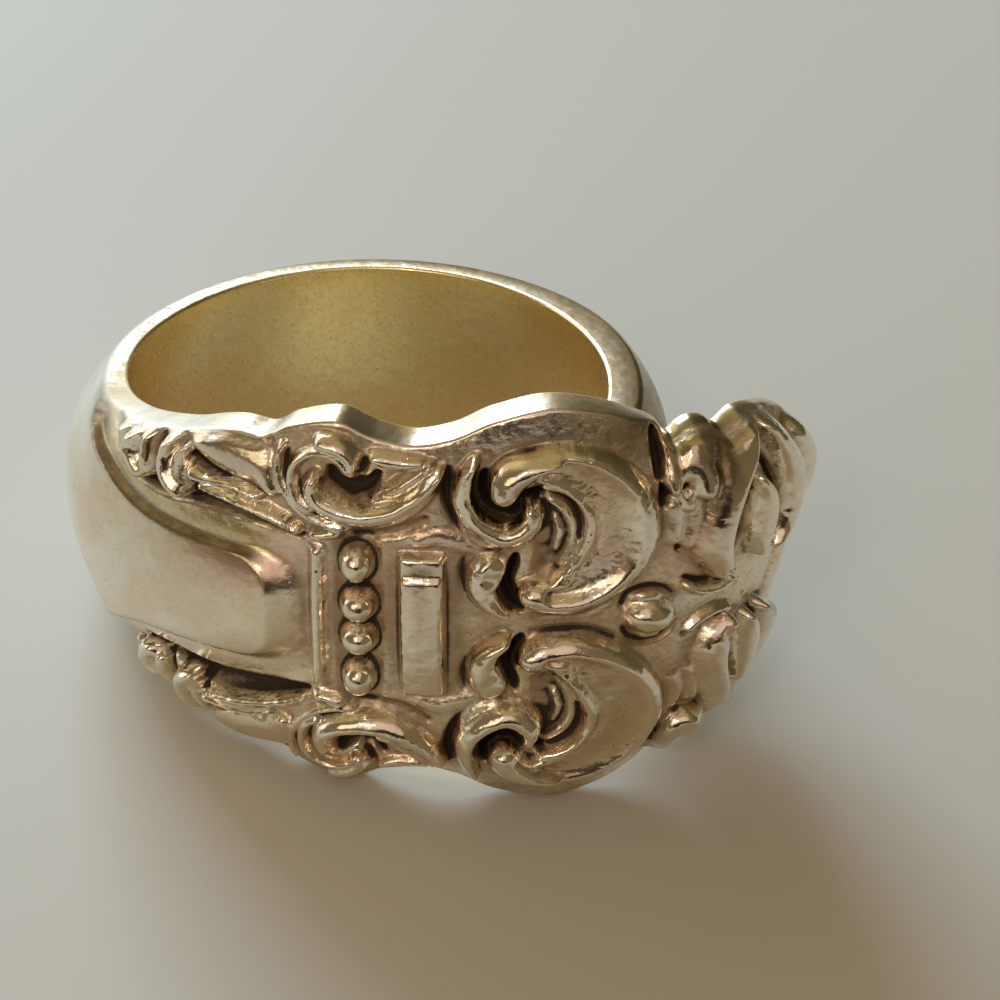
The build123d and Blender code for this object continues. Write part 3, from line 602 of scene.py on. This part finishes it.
def thickness(along, share, rise=0):  # height of the outer skin over the inner wall
    width = halfWidth(along)
    across = share * width
    rim = np.where(share > 0, upperRim(along), handle["rim"])
    band = dome(share, rim, bandCrown(along), handle["domePower"]["band"])
    ground = dome(share, rim, handle["groundCrown"], handle["domePower"]["plate"])
    inFromRim = ease((1 - np.abs(share)) * width / carving["rimFade"])
    # the relief on the ground, with the sunken border round the panel
    beyond, atEnd = pastPanel(along, across)
    border = (beyond - panel["step"]) / (panel["border"] - panel["step"])
    back = (beyond - panel["border"]) / (panel["gutterEnd"] - panel["border"])
    sunken = panel["gutter"] * ease(border) * (1 - ease(back)) * (1 - atEnd)
    plate = ground - sunken + rise * inFromRim
    # the panel's top, which runs down its step to the ground
    top = handle["bandCrown"] - panel["round"] * (across / panelHalf(along)) ** 2
    reach = panel["step"] + (panel["endBorder"] - panel["step"]) * atEnd
    steady = np.clip(beyond / reach, 0, 1)
    down = ease(steady) * (1 - atEnd) + steady * atEnd
    cove = np.where(beyond < reach, top + (ground - sunken - panel["foot"] - top) * down, -1)
    carved = softMax(plate, cove, panel["melt"])
    mixIn = fade(along, *panel["fadeIn"])
    ribs = np.maximum(plate - ground, 0) * fade(along, *panel["ribsFrom"])
    ribs = ribs * (np.abs(across) > panelHalf(along))
    return band * (1 - mixIn) + carved * mixIn + ribs * mixIn * (1 - mixIn)


def ringRows():
    step = handle["rowStep"]
    join = handle["plateStart"] + step["closeAfter"]
    bandRows = np.arange(handle["tailEnd"], join, step["band"])
    plateRows = np.arange(join, handle["plateEnd"], step["plate"])
    return np.concatenate([bandRows, plateRows, [handle["plateEnd"]]])


def bend(start, control, stop):  # corner arc, its two ends left out
    t = np.linspace(0, 1, handle["arcPoints"] + 2)[1:-1]
    return start * (1 - t) ** 2 + 2 * control * t * (1 - t) + stop * t**2


def closeEnd(ids, outerCount):  # strip of triangles between the outer and the inner side
    outer, inner = list(ids[:outerCount]), list(ids[outerCount:][::-1])
    i = k = 0
    while i < len(outer) - 1 or k < len(inner) - 1:
        behind = i / (len(outer) - 1) <= k / (len(inner) - 1)
        if k == len(inner) - 1 or (i < len(outer) - 1 and behind):
            yield outer[i], outer[i + 1], inner[k]
            i += 1
        else:
            yield outer[i], inner[k + 1], inner[k]
            k += 1


def ringSurface():  # the skin's grid, and the loop round inner and outer side
    along = ringRows()[:, None]
    width = halfWidth(along)
    corner = handle["edgeRound"]
    even = np.linspace(-1, 1, handle["columns"])[None]
    shares = handle["evenShare"] * even + (1 - handle["evenShare"]) * np.sin(even * math.pi / 2)
    # the outer skin stops short of the rim, where a round corner takes over
    probe = handle["rimProbe"]
    nearRim = np.array([[1.0, 1 - probe, probe - 1, -1.0]]) + 0 * along
    edgeHeight = thickness(along + 0 * nearRim, nearRim)
    slope = (edgeHeight[:, 1:2] - edgeHeight[:, :1]) / (probe * width)
    inset = corner / np.hypot(1, slope) / width
    grid = along + 0 * shares
    shareGrid = shares * (1 - inset)
    across = shareGrid * width
    rise = smoothRelief(grid, across)
    height = thickness(grid, shareGrid, rise)

    rim, lowRim = edgeHeight[:, :1], edgeHeight[:, 3:]
    plusSide = bend(across[:, -1:], width, width), bend(height[:, -1:], rim, rim - corner)
    plusFoot = bend(width, width, width - corner), bend(0 * width + corner, 0 * width, 0 * width)
    inner = np.linspace(1, -1, handle["innerColumns"])[None] * (width - corner)
    minusFoot = bend(corner - width, -width, -width), bend(0 * width, 0 * width, 0 * width + corner)
    minusSide = bend(-width, -width, across[:, :1]), bend(lowRim - corner, lowRim, height[:, :1])
    acrossLoop = np.hstack([
        across, plusSide[0], width, width, plusFoot[0], inner,
        minusFoot[0], -width, -width, minusSide[0],
    ])
    foot = 0 * width + corner
    heightLoop = np.hstack([
        height, plusSide[1], rim - corner, foot, plusFoot[1], 0 * inner,
        minusFoot[1], foot, lowRim - corner, minusSide[1],
    ])
    fromRim = (1 - np.abs(shares)) * width
    skin = {"along": grid, "across": across, "height": height, "rise": rise, "fromRim": fromRim}
    return skin, np.stack([along + 0 * acrossLoop, acrossLoop, heightLoop], -1)


# where patina, polish, painted shade and painted reflection lie, in mm (fine, soft, wide and ornateBlur in mesh
# points). A pair says where a value starts and where it is full
wearAndPaintedLight = {
    "fine": 1, "soft": 4, "wide": 9, "hollow": 0.6,
    "plate": (18.4, 19.9),
    "panelMargin": (0.8, 0.6),
    "creaseFadeFromRim": (0.45, 0.75),
    "spotFall": 0.8, "spotsOver": 0.2,
    "nearPanel": {"in": (16.2, 17.8), "out": (26.0, 25.2)},
    # painted shade along the panel's step
    "stepShade": {"at": 0.4, "reach": 0.16},
    # painted gold-coloured reflection on the border past the step
    "borderGoldReflection": {"in": (0.2, 0.4), "out": (1.1, 0.8), "from": (18.0, 19.5)},
    "ornateBlur": 2,
}


def storeWearAndPaintedLight(mesh, skin, loop):  # what the silver's colour and polish follow, painted shade, highlight and reflection among them
    along, across, height = skin["along"], skin["across"], skin["height"]
    rows, columns = height.shape
    extra = loop.shape[1] - columns
    fine, soft, wide = (blur(height, wearAndPaintedLight[size]) for size in ("fine", "soft", "wide"))
    plate = fade(along, *wearAndPaintedLight["plate"])
    # hollows, browned as patina and painted shade
    hollow = (np.maximum(soft - height, 0) + np.maximum(wide - height, 0)) * wearAndPaintedLight["hollow"]
    # fine creases, blackened as painted shade and oxide
    crease = np.maximum(fine - height, 0) * fade(skin["fromRim"], *wearAndPaintedLight["creaseFadeFromRim"])
    aside, ahead = wearAndPaintedLight["panelMargin"]
    onPanel = (np.abs(across) < panelHalf(along) + aside) & (along < panel["end"] + ahead)

    # painted shade darkens the steep step beside the panel, and a painted gold-coloured reflection lies on its
    # border
    beyond, _ = pastPanel(along, across)
    nearPanel = fade(along, *wearAndPaintedLight["nearPanel"]["in"]) * fade(along, *wearAndPaintedLight["nearPanel"]["out"])
    offStep = (beyond - wearAndPaintedLight["stepShade"]["at"] * panel["step"]) / wearAndPaintedLight["stepShade"]["reach"]
    stepShade = np.exp(-(offStep**2)) * nearPanel
    # painted reflection: the border past the step turns gold, as if it mirrored the warm light above
    gold = wearAndPaintedLight["borderGoldReflection"]
    borderGoldReflection = fade(beyond, *gold["in"]) * fade(beyond, *gold["out"]) * fade(along, *gold["from"])
    borderGoldReflection = borderGoldReflection * nearPanel * (across > 0)

    def store(name, values, rest=0.0):  # rest is for the loop past the outer skin
        attribute = mesh.attributes.new(name, "FLOAT", "POINT")
        full = np.hstack([values, np.zeros((rows, extra)) + rest])
        attribute.data.foreach_set("value", full.astype(np.float32).ravel())

    store("hollow", hollow * plate)
    store("crease", crease * plate)
    store("pit", np.clip(-skin["rise"], 0, 1) * plate * (1 - onPanel))
    store("crest", np.maximum(height - soft, 0) * plate)
    for name, spots in stainsAndPaintedLight.items():
        total = np.zeros(loop.shape[:2])
        for x, z, reachAlong, reachAcross, strength in spots:
            gap = ((loop[..., 0] - x) / reachAlong) ** 2 + ((loop[..., 1] - z) / reachAcross) ** 2
            total = np.maximum(total, strength * np.exp(-wearAndPaintedLight["spotFall"] * gap))
        total = total * (loop[..., 2] > wearAndPaintedLight["spotsOver"])
        # the painted shade on the step and the painted reflection on the border join the spots
        worked = {"shadeAndTarnish": stepShade, "goldenTarnishAndReflection": borderGoldReflection}.get(name, 0)
        store(name, np.maximum(total[:, :columns], worked), total[:, columns:])
    store("ornate", blur(plate * (1 - onPanel), wearAndPaintedLight["ornateBlur"]))
    innerSide = np.zeros((rows, extra))
    side = handle["arcPoints"] + 2
    innerSide[:, side:-side] = 1
    store("inner", 0 * height, innerSide)
    strip = mesh.attributes.new("strip", "FLOAT_VECTOR", "POINT")
    strip.data.foreach_set("vector", loop.astype(np.float32).ravel())


def makeRing():
    skin, loop = ringSurface()  # rows along the handle, each a loop round its section
    rows, around = loop.shape[:2]
    points = place(loop[..., 0], loop[..., 1], loop[..., 2]) * mm
    index = np.arange(rows * around).reshape(rows, around)
    near, far = index[:-1], index[1:]
    quads = np.stack([near, np.roll(near, -1, 1), np.roll(far, -1, 1), far], -1).reshape(-1, 4)
    outerCount = handle["columns"] + handle["arcPoints"] + 1
    faces = quads.tolist()
    faces += [tri[::-1] for tri in closeEnd(index[0], outerCount)]
    faces += list(closeEnd(index[-1], outerCount))
    mesh = bpy.data.meshes.new("spoonRing")
    mesh.from_pydata(points.reshape(-1, 3).tolist(), [], faces)
    mesh.shade_smooth()
    storeWearAndPaintedLight(mesh, skin, loop)
    mesh.transform(ringFrame)
    ring = bpy.data.objects.new("spoonRing", mesh)
    bpy.context.scene.collection.objects.link(ring)
    return ring


ring = makeRing()
print("ring made,", len(ring.data.polygons), "faces")


class Wire:  # a node socket that takes part in shader maths
    def __init__(self, paint, socket):
        self.paint, self.socket = paint, socket

    def maths(self, operation, first, second, clamp=False):
        settings = {"operation": operation, "use_clamp": clamp}
        return self.paint.add("ShaderNodeMath", settings, {0: first, 1: second})

    def __add__(self, other):
        return self.maths("ADD", self, other)

    def __sub__(self, other):
        return self.maths("SUBTRACT", self, other)

    def __rsub__(self, other):
        return self.maths("SUBTRACT", other, self)

    def __mul__(self, other):
        return self.maths("MULTIPLY", self, other)

    __radd__, __rmul__ = __add__, __mul__

    def clamp(self):
        return self.maths("ADD", self, 0.0, clamp=True)

    def between(self, low, high):  # 0 at low, 1 at high
        sockets = {"Value": self, "From Min": low, "From Max": high}
        return self.paint.add("ShaderNodeMapRange", {"interpolation_type": "SMOOTHSTEP"}, sockets)


class Paint:  # one node tree
    def __init__(self, tree):
        self.tree = tree
        tree.nodes.clear()

    def add(self, kind, settings, sockets, output=0):
        node = self.tree.nodes.new(kind)
        for name, value in settings.items():
            setattr(node, name, value)
        for name, value in sockets.items():
            if isinstance(value, Wire):
                self.tree.links.new(value.socket, node.inputs[name])
            else:
                node.inputs[name].default_value = value
        if node.outputs:
            return Wire(self, node.outputs[output])

    def mix(self, factor, first, second):  # sockets 6, 7 and 2 are the colours
        return self.add("ShaderNodeMix", {"data_type": "RGBA"}, {0: factor, 6: first, 7: second}, 2)

    def vector(self, operation, first, second, output=0):
        return self.add("ShaderNodeVectorMath", {"operation": operation}, {0: first, 1: second}, output)

    def noise(self, at, scale, detail=3.0, rough=0.5, stretch=(1, 1, 1), shift=(0, 0, 0)):
        at = self.vector("MULTIPLY", self.vector("ADD", at, shift), stretch)
        sockets = {"Vector": at, "Scale": scale, "Detail": detail, "Roughness": rough}
        return self.add("ShaderNodeTexNoise", {}, sockets)

    def attribute(self, name, output=2):  # 2 is its value, 1 its vector
        return self.add("ShaderNodeAttribute", {"attribute_name": name}, {}, output)


silverTones = {
    "warm": (0.90, 0.76, 0.56, 1),
    "cream": (0.95, 0.89, 0.75, 1),
    "pink": (0.84, 0.67, 0.55, 1),
    "olive": (0.68, 0.55, 0.28, 1),
    "gold": (1.0, 0.83, 0.47, 1),
    "rose": (0.84, 0.60, 0.51, 1),
    # the next three tones also paint light: gold-coloured reflection, bright highlight and dark shade
    "goldenTarnishAndReflection": (0.76, 0.64, 0.36, 1),
    "bareAndHighlight": (0.97, 0.95, 0.88, 1),
    "shadeAndTarnishBrown": (0.16, 0.11, 0.055, 1),
    "brown": (0.46, 0.32, 0.205, 1),
    "black": (0.030, 0.019, 0.013, 1),
}

# noises over the strip: broad clouds of tone, patches, mottling, dents and scratches
silverNoises = {
    "cloud": {"scale": 0.42, "detail": 2},
    "otherCloud": {"scale": 0.5, "shift": (31, 7, 3)},
    "patch": {"scale": 1.5, "detail": 5, "rough": 0.6},
    "mottle": {"scale": 5.0, "detail": 5, "rough": 0.65},
    "swell": {"scale": 1.7, "detail": 1, "rough": 0.4, "shift": (3, 17, 9)},
    "hammer": {"scale": 5.0, "detail": 2, "rough": 0.4, "shift": (13, 5, 1)},
    "grain": {"scale": 13.0, "detail": 1},
    "scratch": {"scale": 5.0, "rough": 0.6, "stretch": (0.3, 7.0, 1.0)},
    "otherScratch": {"scale": 4.0, "rough": 0.6, "stretch": (6.0, 0.5, 1.0)},
}

# layers made from others: each one's share, and where the sum starts and is full
silverLayers = {
    "creamCloud": ({"cloud": 1.0}, (-0.08, 0.12)),
    "pinkCloud": ({"otherCloud": 1.0}, (0.02, 0.18)),
    "olivePatch": ({"patch": 1.0}, (0.02, 0.22)),
    "worn": ({"crest": 1.0}, (0.02, 0.16)),
    "raised": ({"crest": 1.0}, (0.0, 0.08)),
    # brown patina in hollows, with painted shade at the feet of raised shapes
    "patinaAndShade": ({"hollow": 1.0, "pit": 0.35, "patch": 0.24, "mottle": 0.16, "ornate": 0.02}, (0.02, 0.32)),
    # painted shade, partly dark oxide: black in deep pits, hollows and fine creases
    "black": ({"pit": 0.88, "hollow": 0.5, "crease": 4.5, "mottle": 0.25, "patch": 0.15}, (0.40, 0.72)),
    "towardsTail": ({"along": -1.0}, (5.0, 12.0)),
}

# coats of tone in their order: by which layer, how strongly, which layers add to the
# strength, and which break the coat up
silverCoats = [
    {"by": "creamCloud", "tone": "cream", "strength": 1.0},
    {"by": "pinkCloud", "tone": "pink", "strength": 0.25, "more": {"ornate": 0.6}},
    {"by": "olivePatch", "tone": "olive", "strength": 0.2, "more": {"ornate": 0.5}},
    # painted reflection: the inner side is gold like the warm glow the silver throws round inside the ring
    {"by": "inner", "tone": "gold", "strength": 0.85},
    {"by": "tail", "tone": "brown", "strength": 0.6},
    # painted pink reflection, partly rosy tarnish
    {"by": "rosy", "tone": "rose", "strength": 0.85, "breaks": {"mottle": 0.9}},
    # painted reflection, partly tarnish: the gold-coloured spots and the panel's border
    {"by": "goldenTarnishAndReflection", "tone": "goldenTarnishAndReflection", "strength": 0.85, "breaks": {"patch": 1.0}},
    # painted highlight, partly worn bright silver
    {"by": "bareAndHighlight", "tone": "bareAndHighlight", "strength": 0.85, "breaks": {"patch": 1.0}},
    # painted shade, partly dark tarnish
    {"by": "shadeAndTarnish", "tone": "shadeAndTarnishBrown", "strength": 0.9, "breaks": {"patch": 1.4, "mottle": 0.3}},
    {"by": "worn", "tone": "cream", "strength": 0.7, "more": {"shadeAndTarnish": -0.5}},
    # patina and painted shade in hollows
    {"by": "patinaAndShade", "tone": "brown", "strength": 0.25, "more": {"ornate": 0.5}},
    {"by": "speck", "tone": "brown", "strength": 0.5},
    # painted shade and dark oxide in pits and creases
    {"by": "black", "tone": "black", "strength": 0.95},
]

# mm of bump on plain silver, what the ornament adds, and what its crests add to that
silverBumps = {
    "swell": (0.02, 0.05, 0.0),
    "hammer": (0.004, 0.026, -0.018),
    "grain": (0.0022, 0.0, 0.0),
    "scratch": (0.0015, -0.0015, 0.0),
    "otherScratch": (0.0015, -0.0015, 0.0),
    "pits": (0.0, -0.04, 0.04),
}

silverFinish = {
    "polish": 0.24,
    "rough": {
        "patinaAndShade": 0.22, "mottle": 0.2, "black": 0.25, "patch": 0.16, "inner": 0.02, "worn": -0.12, "bareAndHighlight": -0.06
    },
    "metal": {"full": 1.0, "underBlack": -0.6},
    "speck": {"mottle": 1.4, "start": 0.12},
    "pits": {"scale": 2.6, "edge": (0.02, 0.12)},
}


def weighed(layers, shares, total=0.0):  # adds each layer by its share
    for name, share in shares.items():
        total = layers[name] * share + total
    return total


def silver():
    material = bpy.data.materials.new("tarnishedSilverAndPaintedLight")
    material.use_nodes = True
    paint = Paint(material.node_tree)
    strip = paint.attribute("strip", 1)
    stored = ["hollow", "crease", "pit", "crest", "ornate", "inner"] + list(stainsAndPaintedLight)
    layers = {name: paint.attribute(name) for name in stored}
    for name, settings in silverNoises.items():
        layers[name] = paint.noise(strip, **settings) - 0.5
    layers["along"] = paint.add("ShaderNodeSeparateXYZ", {}, {"Vector": strip})
    for name, (shares, (start, full)) in silverLayers.items():
        layers[name] = weighed(layers, shares).between(start, full)
    # the tail's outside is browner towards its end
    layers["tail"] = layers["towardsTail"] * (1 - layers["inner"])
    speck, pits = silverFinish["speck"], silverFinish["pits"]
    layers["speck"] = (layers["mottle"] * speck["mottle"] + speck["start"]).clamp()
    cells = paint.add("ShaderNodeTexVoronoi", {"feature": "F1"}, {"Vector": strip, "Scale": pits["scale"]})
    layers["pits"] = 1 - cells.between(*pits["edge"])

    colour = silverTones["warm"]
    for coat in silverCoats:
        mask = layers[coat["by"]]
        if "breaks" in coat:
            mask = (mask * weighed(layers, coat["breaks"], 1.0)).clamp()
        strength = weighed(layers, coat.get("more", {}), coat["strength"])
        colour = paint.mix(mask * strength, colour, silverTones[coat["tone"]])

    height = 0.0
    for name, (onPlain, onOrnate, onCrests) in silverBumps.items():
        high = onPlain + layers["ornate"] * (onOrnate + layers["raised"] * onCrests)
        height = layers[name] * high + height
    bump = paint.add("ShaderNodeBump", {}, {"Height": height, "Distance": mm, "Strength": 1.0})
    metal = silverFinish["metal"]["full"] + layers["black"] * silverFinish["metal"]["underBlack"]
    rough = weighed(layers, silverFinish["rough"], silverFinish["polish"]).clamp()
    finish = {"Base Color": colour, "Metallic": metal, "Roughness": rough, "Normal": bump}
    surface = paint.add("ShaderNodeBsdfPrincipled", {}, finish)
    paint.add("ShaderNodeOutputMaterial", {}, {"Surface": surface})
    return material


ring.data.materials.append(silver())
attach(ring, "root")
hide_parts("spoon_ring")
print("silver laid on")


table = {"size": 0.6, "colour": (0.635, 0.605, 0.54, 1), "rough": 0.6}


def makeTable():
    half = table["size"] / 2
    mesh = bpy.data.meshes.new("tableTop")
    corners = [(-half, -half, 0), (half, -half, 0), (half, half, 0), (-half, half, 0)]
    mesh.from_pydata(corners, [], [(0, 1, 2, 3)])
    top = bpy.data.objects.new("tableTop", mesh)
    bpy.context.scene.collection.objects.link(top)
    material = bpy.data.materials.new("paleTable")
    material.use_nodes = True
    paint = Paint(material.node_tree)
    finish = {"Base Color": table["colour"], "Roughness": table["rough"]}
    surface = paint.add("ShaderNodeBsdfPrincipled", {}, finish)
    paint.add("ShaderNodeOutputMaterial", {}, {"Surface": surface})
    mesh.materials.append(material)


makeTable()

# the photograph's view, in the ring's own frame: mm and degrees, focal length in
# pixels of a picture so many pixels wide
view = {
    "tilt": 30.11, "roll": 0.143, "from": (4.94, -106.85, 60.24),
    "focal": 3202.0, "pixels": 1000, "sensor": 36.0,
    "nearest": 0.005, "farthest": 10.0,
}


def makeCamera():
    tilt, roll = math.radians(view["tilt"]), math.radians(view["roll"])
    right, ahead = Vector((1, 0, 0)), Vector((0, math.cos(tilt), -math.sin(tilt)))
    down = ahead.cross(right)
    rolledRight = right * math.cos(roll) - down * math.sin(roll)
    rolledDown = right * math.sin(roll) + down * math.cos(roll)
    turn = Matrix((rolledRight, -rolledDown, -ahead)).transposed().to_4x4()
    turn.translation = Vector(view["from"]) * mm
    data = bpy.data.cameras.new("photoView")
    data.sensor_width, data.lens = view["sensor"], view["focal"] * view["sensor"] / view["pixels"]
    data.clip_start, data.clip_end = view["nearest"], view["farthest"]
    camera = bpy.data.objects.new("photoView", data)
    bpy.context.scene.collection.objects.link(camera)
    camera.matrix_world = ringFrame @ turn
    bpy.context.scene.camera = camera
    return camera


camera = makeCamera()
print("camera at", [round(v * 1000, 1) for v in camera.matrix_world.translation], "mm")

lights = {
    "window": {"from": (-0.17, 0.38, 0.21), "size": (0.24, 0.24), "power": 2.15, "colour": (0.635, 0.86, 1.06)},
    "glint": {"from": (-0.12, -0.30, 0.32), "size": (0.05, 0.05), "power": 0.10, "colour": (1.0, 0.93, 0.80)},
    "fill": {"from": (-0.22, -0.28, 0.20), "size": (0.22, 0.16), "power": 0.12, "colour": (1.0, 0.84, 0.58)},
}
for name, light in lights.items():
    data = bpy.data.lights.new(name, "AREA")
    data.shape, data.energy, data.color = "RECTANGLE", light["power"], light["colour"]
    data.size, data.size_y = light["size"]
    lamp = bpy.data.objects.new(name, data)
    lamp.location = light["from"]
    lamp.rotation_euler = (-Vector(light["from"])).to_track_quat("-Z", "Y").to_euler()
    bpy.context.scene.collection.objects.link(lamp)

# the room that the silver mirrors: a tone all round, then its parts, each full
# where it is closest to its own direction
room = {
    "tone": (0.17, 0.125, 0.072, 1),
    "parts": {
        "behind": {
            "towards": (0.1, 1.0, 0.6), "edge": 0.15, "full": 0.85,
            "colour": (0.76, 0.60, 0.28, 1),
        },
        "overhead": {
            "towards": (0.1, 0.35, 1.0), "edge": 0.72, "full": 0.97,
            "colour": (0.37, 0.285, 0.135, 1),
        },
        "frontAbove": {
            "towards": (-0.05, -0.65, 0.75), "edge": 0.84, "full": 0.95,
            "colour": (0.68, 0.52, 0.43, 1),
        },
        "frontLow": {
            "towards": (0.1, -1.0, 0.1), "edge": 0.9, "full": 0.98,
            "colour": (0.03, 0.02, 0.013, 1),
        },
        "backRight": {
            "towards": (0.75, 0.65, 0.35), "edge": 0.5, "full": 0.85,
            "colour": (0.09, 0.075, 0.04, 1),
        },
        "left": {
            "towards": (-0.85, 0.45, 0.12), "edge": 0.84, "full": 0.97,
            "colour": (1.3, 1.3, 1.22, 1),
        },
    },
}


def makeRoom():
    world = bpy.data.worlds.new("studio")
    bpy.context.scene.world = world
    world.use_nodes = True
    paint = Paint(world.node_tree)
    way = paint.add("ShaderNodeTexCoord", {}, {})
    colour = room["tone"]
    for part in room["parts"].values():
        towards = Vector(part["towards"]).normalized()
        close = paint.vector("DOT_PRODUCT", way, towards, 1)
        colour = paint.mix(close.between(part["edge"], part["full"]), colour, part["colour"])
    back = paint.add("ShaderNodeBackground", {}, {"Color": colour, "Strength": 1.0})
    paint.add("ShaderNodeOutputWorld", {}, {"Surface": back})


makeRoom()
print("stage lit")

bpy.context.scene.view_settings.view_transform = "Standard"
